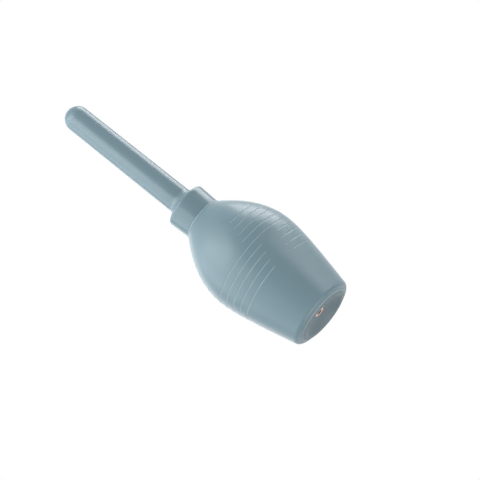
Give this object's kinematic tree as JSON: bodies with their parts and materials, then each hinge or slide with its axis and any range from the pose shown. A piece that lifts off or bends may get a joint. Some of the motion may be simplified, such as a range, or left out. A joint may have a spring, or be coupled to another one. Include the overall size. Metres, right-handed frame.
{
  "type": "anal douche",
  "caption": "Hand-held squeeze-bulb douche with a screw collar, a round-ended nozzle and a spring-loaded air inlet in the base, standing on the rim of its base plug.",
  "frame": {"origin": "centre of the flat ring on the base plug's rim that the object stands on", "axes": "+Z along the axis from the base to the nozzle's tip; -Y is the side with the pictured front of the grip lines; +X completes a right-handed set"},
  "size_m": [0.069, 0.069, 0.2176],
  "materials": {
    "bulb_soft": "soft blue-grey thermoplastic elastomer with a satin, slightly sheeny moulded skin",
    "plug_plastic": "fine matt moulded grey plastic",
    "bush_plastic": "natural white polypropylene, as moulded",
    "seal_rubber": "matt black silicone rubber",
    "nozzle_plastic": "satin blue-grey moulded plastic",
    "collar_plastic": "satin blue-grey moulded plastic",
    "valve_metal": "turned brass with a polished rose-gold plating",
    "valve_brass": "turned plain brass",
    "ball_steel": "polished stainless steel bearing ball",
    "spring_steel": "drawn stainless steel wire"
  },
  "bodies": {
    "bulb_body": {"bulb": "bulb_soft", "base_plug": "plug_plastic", "neck_bush": "bush_plastic", "valve_body": "valve_metal", "valve_washer": "seal_rubber", "valve_nut": "valve_brass", "valve_seat": "seal_rubber", "valve_cap": "valve_brass", "valve_spring": "spring_steel"},
    "nozzle_body": {"nozzle": "nozzle_plastic", "nozzle_gasket": "seal_rubber"},
    "collar_body": {"collar": "collar_plastic"},
    "ball_body": {"valve_ball": "ball_steel"}
  },
  "joints": [
    {"name": "nozzle_lift", "type": "slide", "parent": "bulb_body", "child": "nozzle_body", "axis": [0, 0, 1], "range_m": [0, 0.01001]},
    {"name": "collar_turn", "type": "hinge", "parent": "nozzle_body", "child": "collar_body", "pos_m": [0, 0, 0.1103], "axis": [0, 0, 1], "range_deg": [0, 1440]},
    {"name": "inlet_ball_lift", "type": "slide", "parent": "bulb_body", "child": "ball_body", "axis": [0, 0, 1], "range_m": [0, 0.0012], "stiffness_N_per_m": 30, "springref_m": -0.0005, "deforming": ["valve_spring"]}
  ],
  "couplings": [
    {"joint": "nozzle_lift", "follows": "collar_turn", "m_per_rad": 0.00039789}
  ]
}
